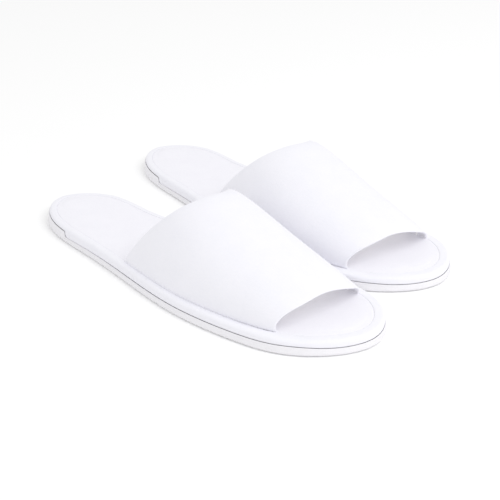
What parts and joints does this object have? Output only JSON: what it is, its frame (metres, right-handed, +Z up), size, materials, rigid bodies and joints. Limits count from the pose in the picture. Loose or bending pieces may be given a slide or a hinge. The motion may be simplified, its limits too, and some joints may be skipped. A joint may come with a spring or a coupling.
{
  "type": "spa slippers",
  "caption": "Pair of white open-toe spa slippers: flat soft sole with a fabric-wrapped rim and padded footbed, and a wide padded band over the forefoot.",
  "frame": {"origin": "middle of the pair's plan, on the floor that the soles stand on", "axes": "+X from the heels to the toes, +Y from the right slipper to the left slipper, +Z up"},
  "size_m": [0.3058, 0.1884, 0.0569],
  "materials": {
    "sole_foam": "matte, closed-cell foam",
    "padding": "soft open foam and wadding",
    "fibre_board": "matte pressed fibre board",
    "footbed_fabric": "short-pile brushed knit",
    "brushed_fabric": "short-pile brushed knit",
    "lining_fabric": "smooth matte knit",
    "thread": "matte spun thread"
  },
  "bodies": {
    "right_slipper": {"right_outsole": "sole_foam", "right_bottom_filler": "padding", "right_insole_board": "fibre_board", "right_footbed_foam": "padding", "right_insole_cover": "footbed_fabric", "right_rand": "brushed_fabric", "right_rim_seam_thread": "thread", "right_upper_outer": "brushed_fabric", "right_upper_foam": "padding", "right_upper_lining": "lining_fabric", "right_throat_hem_thread": "thread", "right_toe_hem_thread": "thread"},
    "left_slipper": {"left_outsole": "sole_foam", "left_bottom_filler": "padding", "left_insole_board": "fibre_board", "left_footbed_foam": "padding", "left_insole_cover": "footbed_fabric", "left_rand": "brushed_fabric", "left_rim_seam_thread": "thread", "left_upper_outer": "brushed_fabric", "left_upper_foam": "padding", "left_upper_lining": "lining_fabric", "left_throat_hem_thread": "thread", "left_toe_hem_thread": "thread"}
  },
  "joints": [
    {"name": "left_slipper_lift", "type": "slide", "parent": "right_slipper", "child": "left_slipper", "axis": [0, 0, 1], "range_m": [0, 0.15]}
  ]
}
